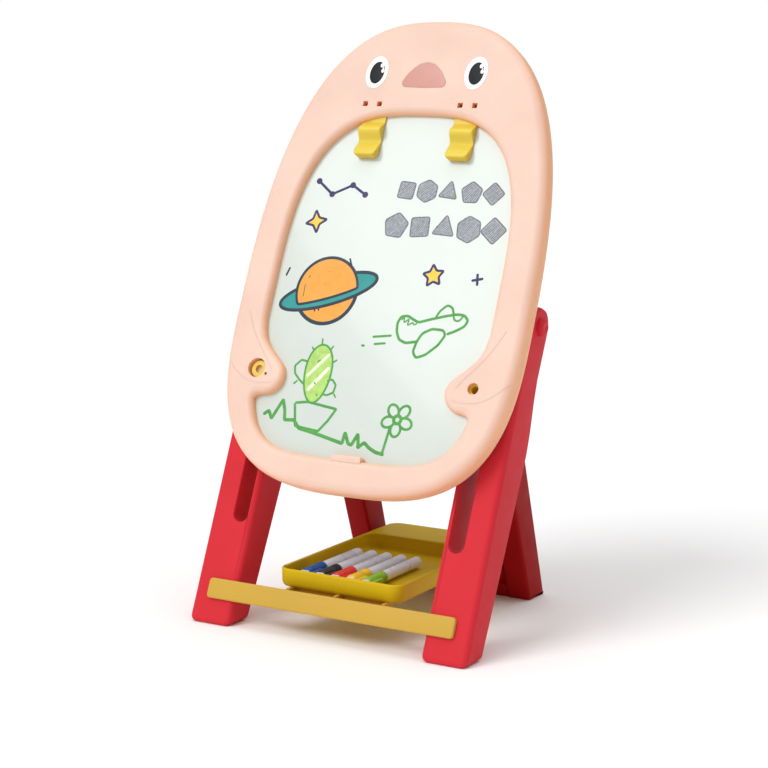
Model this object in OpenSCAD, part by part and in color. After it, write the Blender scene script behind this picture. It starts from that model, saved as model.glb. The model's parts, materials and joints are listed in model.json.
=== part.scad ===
// Kids easel: a double-sided oval board that slides on an A-frame stand, with a marker tray.
// X runs to the right, the board faces -Y, Z is up, and the origin is on the floor under the middle.

/* [Stand] */
// Half of the stand's depth on the floor
half_depth = 150; // [145:1:160]
// Lean of the front legs and the board from upright, in degrees
front_lean = 22.5; // [21:0.5:24]
// Lean of the rear legs from upright, in degrees
rear_lean = 20; // [19:0.5:21]
// Outer half width over the front legs
leg_outer = 161; // [159:1:164]
// Width of one front leg
leg_w = 50; // [46:1:50]
// Outer half width over the rear legs
rear_outer = 108; // [104:1:108]
// Width of one rear leg
rear_w = 27; // [22:1:27]
// Distance from the foot to the hinge, along the front leg
hinge_s = 350; // [345:1:355]
// Width of the slot in each front leg
slot_w = 17.5; // [16:0.5:18]

/* [Board] */
// Half of the board's width
board_half_w = 168; // [164:1:170]
// Distance along the lean from the floor to the board's lower edge
board_low = 149; // [146:1:152]
// Distance along the lean from the floor to the board's upper edge
board_high = 661; // [650:1:665]
// Thickness of the whole board
board_t = 28; // [26:1:30]
// Half of the opening's width
window_half_w = 131; // [128:1:133]
// Distance along the lean from the floor to the opening's lower edge
window_low = 184; // [182:1:188]
// Distance along the lean from the floor to the opening's upper edge
window_high = 556; // [550:1:560]

/* [Tray] */
// Half of the tray's width
tray_half_w = 72; // [68:1:72]
// Height of the tray's underside above the floor
tray_z = 44; // [44:1:46]
// Height of the tray from underside to rim
tray_h = 19; // [17:1:20]
// Front face of the tray
tray_front = -119; // [-120:1:-117]
// Back face of the basin, where the flat ledge starts
basin_back = 68; // [60:1:75]
// Back face of the ledge
tray_back = 128; // [120:1:129]

/* [Markers] */
// Radius of a marker's barrel
marker_r = 5.8; // [5:0.1:6]
// Radius of a marker's cap
cap_r = 6.6; // [6:0.1:6.8]
// Distance from marker to marker
marker_step = 18; // [17:0.5:18.5]
// Whole length of a marker
marker_len = 122; // [115:1:126]

/* [Hidden] */
$fn = 64;
marker_count = 5;

peach = [0.98, 0.78, 0.68];
red = [0.86, 0.14, 0.18];
dark_red = [0.6, 0.05, 0.06];
golden = [0.84, 0.63, 0.16];
yellow = [0.93, 0.82, 0.3];
steel = [0.7, 0.7, 0.72];
cap_colours = [[0.05, 0.3, 0.65], [0.08, 0.08, 0.1], [0.9, 0.15, 0.1], [0.98, 0.8, 0.05], [0.55, 0.75, 0.1]];

// board layers, measured out of the front legs' front plane
back_t = 3;
lip_t = back_t + board_t;
mid_t = (back_t + lip_t) / 2;
panel_t = 4;
rabbet = 8;
wall = 2.5;
cut = 1;

// hand lobes, lock pins and slots
pin_x = 126;
pin_s = 269;
pin_r = 6;
pin_clear = 0.06;
head_r = 8.8;
head_t = 4;
recess_r = 10.4;
recess_t = 8;
cross_len = 26;
cross_w = 10;
cross_t = 6;
cross_gap = 1.5;
slot_low = 110.5;
slot_high = 287.2;
guide_gap = 0.35;
guide_len = 36;

// legs
leg_wall = 3;
foot_solid = 55;
screw_r = 1.5;
bar_screw_s = [33, 43];
panel_screw_z = [16, 36];
foot_t = 33;
knee_t = 46;
knee_s = 225;
neck_t = 38;
neck_s = 300;
head_leg_r = 20;
axle_r = 4;
axle_clear = 0.06;
rear_foot_t = 34;
rear_head_r = 19;
hinge_y = -half_depth + hinge_s * sin(front_lean) + head_leg_r * cos(front_lean);
hinge_z = hinge_s * cos(front_lean) - head_leg_r * sin(front_lean);
spacer_r = 9;

// front bar
bar_low = 27.5;
bar_high = 48.5;
bar_half_w = 143;
bar_recess = 1.2;
bar_proud = 4.5;
shelf_half_w = 58;
shelf_y = [-124, -106];
shelf_reach = 14.5;
shelf_z = [28, tray_z];
shelf_plate = 5;
shelf_rib = 4;

// face
eye_x = 58.5;
eye_s = 600.5;
eye_tilt = 5;
eye_t = 0.6;
pupil_t = 0.5;
nose_t = 0.8;
square_x = 56;
square_s = 565;
square_gap = 8.4;
square_side = 5.8;

// clips
clip_x = 54;
clip_w = 27;
clip_hinge_s = 563;
clip_hinge_t = 24;
clip_barrel_r = 2.4;
clip_pin_r = 1.2;
clip_thick = 2.2;
clip_len = 52;
clip_steps = 20;
bulge_from = 0.24;
bulge_h = 9;
pinch_at = 0.66;
flare_h = 10;
pocket_s = [550, 569];
pocket_half_w = 14.6;
pocket_t = 28;

// places a child in the leg plane: x across, y up along the lean, z out towards the front
module lean() {
    translate([0, -half_depth, 0]) rotate([90 - front_lean, 0, 0]) children();
}

// places a child in the rear legs' outer plane: x across, y up along their lean, z out to the back
module rear_plane() {
    translate([0, half_depth, 0]) rotate([90 + rear_lean, 0, 0]) mirror([0, 0, 1]) children();
}

// extrudes a side profile, drawn as (along the leg, out of the plane), from x0 to x1
module side_extrude(x0, x1) {
    translate([x0, 0, 0]) rotate([90, 0, 90]) linear_extrude(x1 - x0) children();
}

// one lobe of an oval: |x/w|^p + |y/h|^p = 1, with its own height and power above and below its centre
function oval(w, centre, low, high, p_low, p_high, n = 72) = [
    for (i = [0 : n - 1])
        let (a = 360 * i / n, h = sin(a) < 0 ? centre - low : high - centre, p = sin(a) < 0 ? p_low : p_high)
        [
            w * sign(cos(a)) * pow(abs(cos(a)), 2 / p),
            centre + h * sign(sin(a)) * pow(abs(sin(a)), 2 / p)
        ]
];

module board_shape(inset = 0) {
    polygon(oval(board_half_w - inset, 340, board_low + inset, board_high - inset, 3, 2.6));
}

module window_shape(grow = 0) {
    polygon(oval(window_half_w + grow, 370, window_low - grow, window_high + grow, 4, 2.9));
}

module ring(t0, t1, inset, grow) {
    translate([0, 0, t0]) linear_extrude(t1 - t0) difference() {
        board_shape(inset);
        window_shape(grow);
    }
}

// mirrored pair: a child drawn on the right is repeated on the left
module both_sides() {
    children();
    mirror([1, 0, 0]) children();
}

// right hand lobe, a blunt mitten that points inwards from the frame's edge
module hand_shape() {
    difference() {
        hull() {
            translate([103, 264]) circle(9.5, $fn = 32);
            translate([112, 254]) circle(12, $fn = 32);
            translate([138, 262]) circle(26, $fn = 32);
            translate([146, 300]) circle(14, $fn = 32);
        }
        translate([146, 200]) square([40, 160]);
    }
}

// line along the middle of the shell's band, on which the frame screws lie
screw_line = oval(153.5, 355, 161.5, 604, 3.4, 2.75, 72);

// places a child at each frame screw
module at_frame_screws() {
    for (i = [4, 13, 23, 32, 41, 50, 58, 67]) translate([screw_line[i][0], screw_line[i][1], 0]) children();
}

module clip_pocket() {
    translate([clip_x - pocket_half_w, pocket_s[0] - 6, mid_t - cut])
        cube([2 * pocket_half_w, pocket_s[1] - pocket_s[0] + 6, pocket_t - mid_t + cut]);
}

module front_frame() {
    color(peach) lean() difference() {
        union() {
            difference() {
                union() {
                    ring(mid_t, mid_t + panel_t, 0, rabbet);
                    ring(mid_t + panel_t, lip_t - 6, 0, 0);
                    ring(lip_t - 6, lip_t - 2.5, 3, 0);
                    ring(lip_t - 2.5, lip_t, 7, 3);
                }
                // the shell is hollow behind its face
                ring(mid_t - cut, lip_t - 6 - wall, wall + 0.5, rabbet + wall);
            }
            both_sides() {
                translate([0, 0, mid_t + panel_t]) linear_extrude(lip_t - 1 - mid_t - panel_t) hand_shape();
                // block behind the face that carries the clip's pin
                translate([clip_x - 22, pocket_s[0] - 2, mid_t]) cube([44, 26, 12]);
            }
            // small raised tab on the lower lip
            translate([-16, window_low - 6, lip_t - 4]) cube([34, 10, 3.4]);
            // bosses for the frame screws
            at_frame_screws() translate([0, 0, mid_t]) cylinder(r = 4.5, h = lip_t - 7 - mid_t);
        }
        both_sides() {
            clip_pocket();
            translate([clip_x - 20, clip_hinge_s, clip_hinge_t]) rotate([0, 90, 0])
                cylinder(r = clip_pin_r, h = 40);
            translate([pin_x, pin_s, mid_t]) cylinder(r = pin_r + pin_clear, h = board_t);
            translate([pin_x, pin_s, lip_t - 1 - recess_t]) cylinder(r = recess_r, h = board_t);
            // pair of small square holes under each eye
            for (side = [-square_gap, square_gap])
                translate([square_x + side - square_side / 2, square_s - square_side / 2, lip_t - 6 - cut])
                    cube([square_side, square_side, 20]);
        }
        at_frame_screws() translate([0, 0, mid_t - cut]) cylinder(r = screw_r, h = 9 + cut);
        // the panel rests in the rabbet with nothing of the lobes' blocks below its face
        translate([0, 0, mid_t - cut]) linear_extrude(panel_t + cut) window_shape(rabbet);
    }
}

module rear_frame() {
    color(peach) lean() difference() {
        union() {
            difference() {
                union() {
                    ring(mid_t - panel_t, mid_t, 0, rabbet);
                    ring(back_t + 6, mid_t - panel_t, 0, 0);
                    ring(back_t + 2.5, back_t + 6, 3, 0);
                    ring(back_t, back_t + 2.5, 7, 3);
                }
                ring(back_t + 6 + wall, mid_t + cut, wall + 0.5, rabbet + wall);
            }
            at_frame_screws() translate([0, 0, back_t + 3]) cylinder(r = 6, h = mid_t - back_t - 3);
            both_sides() {
                // ear that carries the lock pin's bore
                translate([0, 0, back_t]) linear_extrude(mid_t - panel_t - back_t) hull() {
                    translate([pin_x, pin_s]) circle(15, $fn = 32);
                    translate([pin_x + 20, pin_s - 20]) square([4, 40]);
                }
                // guide that runs in the leg's slot
                translate([pin_x, pin_s, -30]) linear_extrude(30 + back_t + 2) {
                    square([slot_w - 2 * guide_gap, guide_len - slot_w], center = true);
                    for (end = [-1, 1])
                        translate([0, end * (guide_len - slot_w) / 2]) circle(slot_w / 2 - guide_gap);
                }
            }
        }
        both_sides() translate([pin_x, pin_s, -30 - cut]) cylinder(r = pin_r + pin_clear, h = 30 + board_t);
        at_frame_screws() {
            translate([0, 0, back_t - cut]) cylinder(r = screw_r, h = board_t);
            translate([0, 0, back_t - cut]) cylinder(r = 3.6, h = cut + 4);
        }
        translate([0, 0, mid_t - panel_t]) linear_extrude(panel_t + cut) window_shape(rabbet);
    }
}

// a panel of the sandwich, with clearance holes for the two lock pins
module panel(t0) {
    lean() difference() {
        translate([0, 0, t0]) linear_extrude(panel_t) window_shape(rabbet);
        both_sides() translate([pin_x, pin_s, t0 - cut]) cylinder(r = pin_r + 0.6, h = panel_t + 2 * cut);
    }
}

module whiteboard() {
    color([0.95, 0.97, 0.96]) panel(mid_t);
}

module chalkboard() {
    color([0.12, 0.16, 0.14]) panel(mid_t - panel_t);
}

// printed face pieces sit on the board's front
module nose() {
    color([0.9, 0.66, 0.64]) lean() translate([0, 0, lip_t]) linear_extrude(nose_t) hull() {
        translate([-20, 588]) circle(5.5, $fn = 32);
        translate([20, 588]) circle(5.5, $fn = 32);
        translate([0, 604]) circle(9, $fn = 32);
    }
}

module eye(x) {
    color("white") lean() translate([x, eye_s, lip_t]) rotate([0, 0, -eye_tilt]) linear_extrude(eye_t)
        polygon(oval(13, 0, -18.5, 18.5, 2, 2, 36));
}

module pupil(x) {
    color([0.1, 0.1, 0.12]) lean() translate([x, eye_s - 1, lip_t + eye_t]) rotate([0, 0, -eye_tilt])
        linear_extrude(pupil_t) polygon(oval(8.4, 0, -12.5, 12.5, 2, 2, 36));
}

// clip spring: its middle line runs down the board, bulges out, pinches the panel and flares out at the end
clip_line = [
    for (i = [0 : clip_steps]) let (u = i / clip_steps) [
        clip_hinge_s - 4 - clip_len * u,
        mid_t + panel_t + 1.4
            + bulge_h * pow(sin(180 * min(max((u - bulge_from) / (pinch_at - bulge_from), 0), 1)), 2)
            + flare_h * pow(max((u - pinch_at) / (1 - pinch_at), 0), 1.6)
    ]
];

module clip(x) {
    color(yellow) lean() translate([x - clip_w / 2, 0, 0]) {
        side_extrude(0, clip_w) polygon(concat(
            [[clip_hinge_s, clip_hinge_t + 2]],
            [for (p = clip_line) [p[0], p[1] + clip_thick / 2]],
            [for (i = [clip_steps : -1 : 0]) [clip_line[i][0], clip_line[i][1] - clip_thick / 2]],
            [[clip_hinge_s, clip_hinge_t - 2]]
        ));
    }
}

// clip spring with its rolled barrel and the bore for its pin
module clip_with_barrel(x) {
    color(yellow) difference() {
        union() {
            clip(x);
            lean() translate([x - clip_w / 2, clip_hinge_s, clip_hinge_t]) rotate([0, 90, 0])
                cylinder(r = clip_barrel_r, h = clip_w);
        }
        lean() translate([x - clip_w / 2 - cut, clip_hinge_s, clip_hinge_t]) rotate([0, 90, 0])
            cylinder(r = clip_pin_r + pin_clear, h = clip_w + 2 * cut);
    }
}

module clip_pin(x) {
    color(steel) lean() translate([x - 19.5, clip_hinge_s, clip_hinge_t]) rotate([0, 90, 0])
        cylinder(r = clip_pin_r, h = 39);
}

// hollow head in the hand lobe, shaft through board and slot, cross head behind the leg
module lock_pin(x) {
    color(yellow) lean() translate([x, pin_s, 0]) difference() {
        union() {
            translate([0, 0, -knee_t - cross_gap - cut])
                cylinder(r = pin_r, h = knee_t + cross_gap + lip_t - recess_t);
            translate([0, 0, lip_t - 1 - recess_t]) cylinder(r = head_r, h = head_t);
            translate([-cross_len / 2, -cross_w / 2, -knee_t - cross_gap - cross_t])
                cube([cross_len, cross_w, cross_t]);
        }
        translate([0, 0, lip_t - 1 - recess_t - 8]) cylinder(r = 4.2, h = 20);
    }
}

module frame_screws() {
    color(steel) lean() at_frame_screws() {
        translate([0, 0, back_t + 4 - 1]) cylinder(r = screw_r, h = board_t - 12);
        translate([0, 0, back_t + 1]) cylinder(r = 3.2, h = 2);
    }
}

// side profile of a front leg: straight front, back that widens to a knee and narrows to a round head
module front_leg_profile() {
    difference() {
        union() {
            polygon([
                [0, 0], [foot_t * tan(front_lean), -foot_t], [knee_s - 20, -knee_t + 1],
                [knee_s, -knee_t], [knee_s + 20, -knee_t + 1.5],
                [neck_s - 20, -neck_t - 1.5], [neck_s, -neck_t],
                [hinge_s, -2 * head_leg_r], [hinge_s, 0]
            ]);
            translate([hinge_s, -head_leg_r]) circle(head_leg_r);
        }
        translate([-60, -2 * knee_t]) square([60, 3 * knee_t]);
    }
}

// right front leg; side = -1 mirrors it to the left
module front_leg(side) {
    color(red) mirror([side < 0 ? 1 : 0, 0, 0]) lean() difference() {
        side_extrude(leg_outer - leg_w, leg_outer) front_leg_profile();
        // closed hollow between the slot and the outer wall
        side_extrude(pin_x + slot_w / 2 + leg_wall, leg_outer - leg_wall) difference() {
            offset(delta = -leg_wall) front_leg_profile();
            translate([hinge_s, -head_leg_r]) circle(axle_r + leg_wall);
            translate([0, -60]) square([foot_solid, 80]);
        }
        // slot for the board's guide and lock pin
        translate([pin_x, 0, -2 * knee_t]) linear_extrude(3 * knee_t) {
            translate([-slot_w / 2, slot_low + slot_w / 2]) square([slot_w, slot_high - slot_low - slot_w]);
            for (s = [slot_low + slot_w / 2, slot_high - slot_w / 2]) translate([0, s]) circle(slot_w / 2);
        }
        translate([leg_outer - leg_w - cut, hinge_s, -head_leg_r]) rotate([0, 90, 0])
            cylinder(r = axle_r, h = leg_w + 2 * cut);
        // seat for the front bar
        translate([0, bar_low, -bar_recess]) cube([bar_half_w, bar_high - bar_low, 2 * bar_recess]);
        // screw holes behind the bar
        for (s = bar_screw_s) translate([leg_outer - leg_w / 2, s, -12]) cylinder(r = screw_r, h = 20);
    }
}

module front_bar() {
    color(golden) difference() {
        union() {
            lean() translate([-bar_half_w, bar_low, -bar_recess]) {
                cube([2 * bar_half_w, bar_high - bar_low, bar_recess + 2]);
                translate([1.5, 1.5, 0])
                    cube([2 * bar_half_w - 3, bar_high - bar_low - 3, bar_recess + bar_proud]);
            }
            // shelf behind the bar on which the tray's front rests
            translate([-shelf_half_w, shelf_y[0] - shelf_reach, shelf_z[0]])
                cube([2 * shelf_half_w, shelf_y[1] - shelf_y[0] + shelf_reach, shelf_plate]);
            for (x = [-shelf_half_w, -shelf_rib / 2, shelf_half_w - shelf_rib])
                translate([x, shelf_y[0], shelf_z[0]])
                    cube([shelf_rib, shelf_y[1] - shelf_y[0], shelf_z[1] - shelf_z[0]]);
            translate([-shelf_half_w, shelf_y[1] - shelf_rib, shelf_z[0]])
                cube([2 * shelf_half_w, shelf_rib, shelf_z[1] - shelf_z[0]]);
        }
        lean() both_sides() for (s = bar_screw_s)
            translate([leg_outer - leg_w / 2, s, -bar_recess - cut]) cylinder(r = screw_r, h = 3 + cut);
    }
}

module bar_screws() {
    color(steel) lean() both_sides() for (s = bar_screw_s)
        translate([leg_outer - leg_w / 2, s, -12]) cylinder(r = screw_r, h = 12 + 1.8);
}

module hinge_axle() {
    color(steel) translate([-leg_outer - 3, hinge_y, hinge_z]) rotate([0, 90, 0])
        cylinder(r = axle_r, h = 2 * leg_outer + 6);
}

// push-on caps over the axle's ends
module hinge_caps() {
    color(red) both_sides() translate([leg_outer, hinge_y, hinge_z]) rotate([0, 90, 0]) difference() {
        cylinder(r = 9, h = 6);
        translate([0, 0, -cut]) cylinder(r = axle_r, h = 3 + cut);
    }
}

module hinge_spacers() {
    color(steel) both_sides() translate([rear_outer + 0.3, hinge_y, hinge_z])
        rotate([0, 90, 0]) difference() {
            cylinder(r = spacer_r, h = leg_outer - leg_w - rear_outer - 0.3);
            translate([0, 0, -cut]) cylinder(r = axle_r, h = 20);
        }
}

// where the hinge lies in the rear legs' own plane
hinge_along = (half_depth - hinge_y) * sin(rear_lean) + hinge_z * cos(rear_lean);
hinge_in = (half_depth - hinge_y) * cos(rear_lean) - hinge_z * sin(rear_lean);
rear_knee = hinge_along * 0.6;
rear_knee_t = rear_foot_t + 7;

// side profile of a rear leg, as (along the leg, into the stand)
module rear_leg_profile() {
    polygon(concat(
        [[0, 0], [rear_foot_t * tan(rear_lean), rear_foot_t], [rear_knee, rear_knee_t]],
        [for (a = [95 : -5 : -100]) [hinge_along + rear_head_r * cos(a), hinge_in + rear_head_r * sin(a)]],
        [[hinge_along - 40, 0]]
    ));
}

// closed hollow between the foot and the head
module rear_leg_hollow() {
    polygon([
        [foot_solid, leg_wall], [foot_solid, rear_foot_t - leg_wall], [rear_knee, rear_knee_t - leg_wall],
        [hinge_along - 26, rear_knee_t], [hinge_along - 26, 3 * leg_wall], [hinge_along - 42, leg_wall]
    ]);
}

module rear_leg(side) {
    x0 = side > 0 ? rear_outer - rear_w : -rear_outer;
    color(dark_red) difference() {
        rear_plane() translate([x0, 0, 0]) rotate([90, 0, 90]) linear_extrude(rear_w)
            mirror([0, 1]) rear_leg_profile();
        rear_plane() translate([x0 + leg_wall, 0, 0]) rotate([90, 0, 90])
            linear_extrude(rear_w - 2 * leg_wall) mirror([0, 1]) rear_leg_hollow();
        translate([x0 - cut, hinge_y, hinge_z]) rotate([0, 90, 0])
            cylinder(r = axle_r + axle_clear, h = rear_w + 2 * cut);
        for (z = panel_screw_z) translate([x0 - cut, half_depth - 22 - z * tan(rear_lean), z])
            rotate([0, 90, 0]) cylinder(r = screw_r, h = rear_w + 2 * cut);
    }
}

panel_half_w = rear_outer - rear_w;

// panel between the rear feet, with two shallow steps on its front face
module rear_cross_panel() {
    color(dark_red) difference() {
        side_extrude(-panel_half_w, panel_half_w) polygon([
            [half_depth - 8, 0], [half_depth - rear_foot_t / cos(rear_lean) + 2, 0],
            [half_depth - rear_foot_t / cos(rear_lean) - 14 * tan(rear_lean) + 2, 14],
            [half_depth - rear_foot_t / cos(rear_lean) - 14 * tan(rear_lean) + 6, 17],
            [half_depth - rear_foot_t / cos(rear_lean) - 32 * tan(rear_lean) + 6, 32],
            [half_depth - rear_foot_t / cos(rear_lean) - 32 * tan(rear_lean) + 10, 35],
            [half_depth - rear_foot_t / cos(rear_lean) - tray_z * tan(rear_lean) + 10, tray_z],
            [half_depth - 8 - tray_z * tan(rear_lean), tray_z]
        ]);
        for (z = panel_screw_z) translate([-panel_half_w - cut, half_depth - 22 - z * tan(rear_lean), z])
            rotate([0, 90, 0]) blind_end_holes();
    }
}

// blind screw holes in from each end of the panel
module blind_end_holes() {
    cylinder(r = screw_r, h = 16);
    translate([0, 0, 2 * panel_half_w + 2 * cut - 16]) cylinder(r = screw_r, h = 16);
}

module panel_screws() {
    color(steel) both_sides() for (z = panel_screw_z)
        translate([panel_half_w - 14, half_depth - 22 - z * tan(rear_lean), z]) rotate([0, 90, 0])
            cylinder(r = screw_r, h = 14 + rear_w - 1);
}

// rounded rectangle from the corner (x0, y0) to (x1, y1)
module plate(x0, y0, x1, y1, r) {
    translate([x0 + r, y0]) square([x1 - x0 - 2 * r, y1 - y0]);
    translate([x0, y0 + r]) square([x1 - x0, y1 - y0 - 2 * r]);
    for (x = [x0 + r, x1 - r], y = [y0 + r, y1 - r]) translate([x, y]) circle(r);
}

tray_wall = 2.8;
tray_corner = 14;

module tray() {
    color(golden) difference() {
        union() {
            translate([0, 0, tray_z + 4]) linear_extrude(tray_h - 4)
                plate(-tray_half_w, tray_front, tray_half_w, tray_back, tray_corner);
            translate([0, 0, tray_z]) linear_extrude(4)
                plate(-tray_half_w + 2, tray_front + 2, tray_half_w - 2, tray_back, tray_corner - 2);
        }
        // basin
        translate([0, 0, tray_z + tray_wall]) linear_extrude(tray_h)
            plate(-tray_half_w + tray_wall + 1, tray_front + tray_wall + 1,
                tray_half_w - tray_wall - 1, basin_back, tray_corner - 3);
        // hollow under the flat ledge
        translate([-tray_half_w + 6, basin_back + 4, tray_z - cut])
            cube([2 * tray_half_w - 12, tray_back - basin_back - 8, tray_h - tray_wall + cut]);
    }
}

// markers lie along Y on the basin's floor, caps to the front
marker_front = -108;
marker_z = tray_z + tray_wall + cap_r + 0.1;
cap_len = 46;
end_len = 12;
nib_len = 9;

module at_marker(n) {
    translate([-15 + (n - 3) * marker_step, marker_front, marker_z]) rotate([-90, 0, 0]) children();
}

module marker_barrel(n) {
    color([0.86, 0.88, 0.9]) at_marker(n) difference() {
        union() {
            translate([0, 0, cap_len]) cylinder(r = marker_r, h = marker_len - cap_len - 2);
            translate([0, 0, marker_len - 2]) cylinder(r = marker_r - 1, h = 2);
            translate([0, 0, 32]) cylinder(r = 4.2, h = cap_len - 32);
        }
        translate([0, 0, 30]) cylinder(r = 2, h = 12);
    }
}

module marker_nib(n) {
    color(cap_colours[n - 1]) at_marker(n) translate([0, 0, 24]) {
        translate([0, 0, 4]) cylinder(r = 2, h = 14);
        cylinder(r = 1.2, h = 4);
    }
}

module marker_cap(n) {
    color(cap_colours[n - 1]) at_marker(n) difference() {
        union() {
            translate([0, 0, end_len]) cylinder(r = cap_r, h = cap_len - end_len - 0.3);
            // flag on the cap's side, towards the next marker
            translate([3, -3.2, end_len + 1]) cube([6.6, 5, 18]);
        }
        translate([0, 0, end_len + 6]) cylinder(r = 4.6, h = cap_len);
    }
}

module cap_end(n) {
    color("white") at_marker(n) translate([-4.6, -4.6, 0]) cube([9.2, 9.2, end_len]);
}

front_frame();
rear_frame();
whiteboard();
chalkboard();
nose();
eye(-eye_x);  // eye_left
eye(eye_x);  // eye_right
pupil(-eye_x);  // pupil_left
pupil(eye_x);  // pupil_right
clip_with_barrel(-clip_x);  // clip_left
clip_with_barrel(clip_x);  // clip_right
clip_pin(-clip_x);  // clip_pin_left
clip_pin(clip_x);  // clip_pin_right
lock_pin(-pin_x);  // lock_pin_left
lock_pin(pin_x);  // lock_pin_right
frame_screws();
front_leg(-1);  // front_leg_left
front_leg(1);  // front_leg_right
front_bar();
bar_screws();
hinge_axle();
hinge_caps();
hinge_spacers();
rear_leg(-1);  // rear_leg_left
rear_leg(1);  // rear_leg_right
rear_cross_panel();
panel_screws();
tray();
for (n = [1 : marker_count]) {
    marker_barrel(n);
    marker_nib(n);
    marker_cap(n);
    cap_end(n);
}
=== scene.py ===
import json
import math

import bpy
import numpy as np
from mathutils import Matrix, Vector


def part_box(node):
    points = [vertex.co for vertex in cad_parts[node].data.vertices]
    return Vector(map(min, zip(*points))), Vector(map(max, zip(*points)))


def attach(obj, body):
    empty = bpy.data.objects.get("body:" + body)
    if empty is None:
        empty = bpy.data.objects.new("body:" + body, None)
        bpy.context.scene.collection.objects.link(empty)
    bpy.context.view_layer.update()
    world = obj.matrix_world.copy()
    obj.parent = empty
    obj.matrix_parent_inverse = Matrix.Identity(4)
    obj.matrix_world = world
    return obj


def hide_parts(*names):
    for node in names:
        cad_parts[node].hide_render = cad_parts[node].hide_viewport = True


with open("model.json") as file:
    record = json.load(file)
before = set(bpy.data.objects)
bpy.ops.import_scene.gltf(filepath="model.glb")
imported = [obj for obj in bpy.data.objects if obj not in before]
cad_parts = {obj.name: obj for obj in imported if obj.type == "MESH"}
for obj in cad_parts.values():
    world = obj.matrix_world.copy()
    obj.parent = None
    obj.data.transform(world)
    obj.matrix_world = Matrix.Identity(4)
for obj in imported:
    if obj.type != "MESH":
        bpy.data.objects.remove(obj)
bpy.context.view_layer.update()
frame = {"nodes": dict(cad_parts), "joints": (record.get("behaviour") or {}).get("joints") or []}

nodes = frame["nodes"]
jointOf = {j["name"]: j for j in frame["joints"]}
print("frame loaded,", len(nodes), "nodes")

# the board's own directions, read from the joint that it slides on
slideUp = np.array(jointOf["board_height"]["axis"], float)
outward = np.array([0.0, -slideUp[2], slideUp[1]])
lean = math.atan2(slideUp[1], slideUp[2])
footFront = np.array([0.0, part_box("front_leg_left")[0].y, 0.0])
hinge = np.array(jointOf["rear_fold"]["pos_m"], float)


# a point x across, s up the lean and t out of it: footFront + x right + s slideUp + t outward
def onLean(x, s, t):
    x, s, t = np.broadcast_arrays(*(np.asarray(v, float) for v in (x, s, t)))
    return footFront + x[..., None] * np.array([1.0, 0, 0]) + s[...,
                                                                None] * slideUp + t[..., None] * outward


# a point x across, y back and z up, given as three numbers or lists of them
def upright(x, y, z):
    return np.stack(np.broadcast_arrays(*(np.asarray(v, float) for v in (x, y, z))), -1)


# linear light of an 8-bit colour: v / 12.92 in the dark, else ((v + 0.055) / 1.055) to the power 2.4
def srgb(*parts):
    v = np.array(parts) / 255.0
    return tuple(np.where(v <= 0.04045, v / 12.92, ((v + 0.055) / 1.055) ** 2.4).tolist()) + (1.0,)


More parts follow.
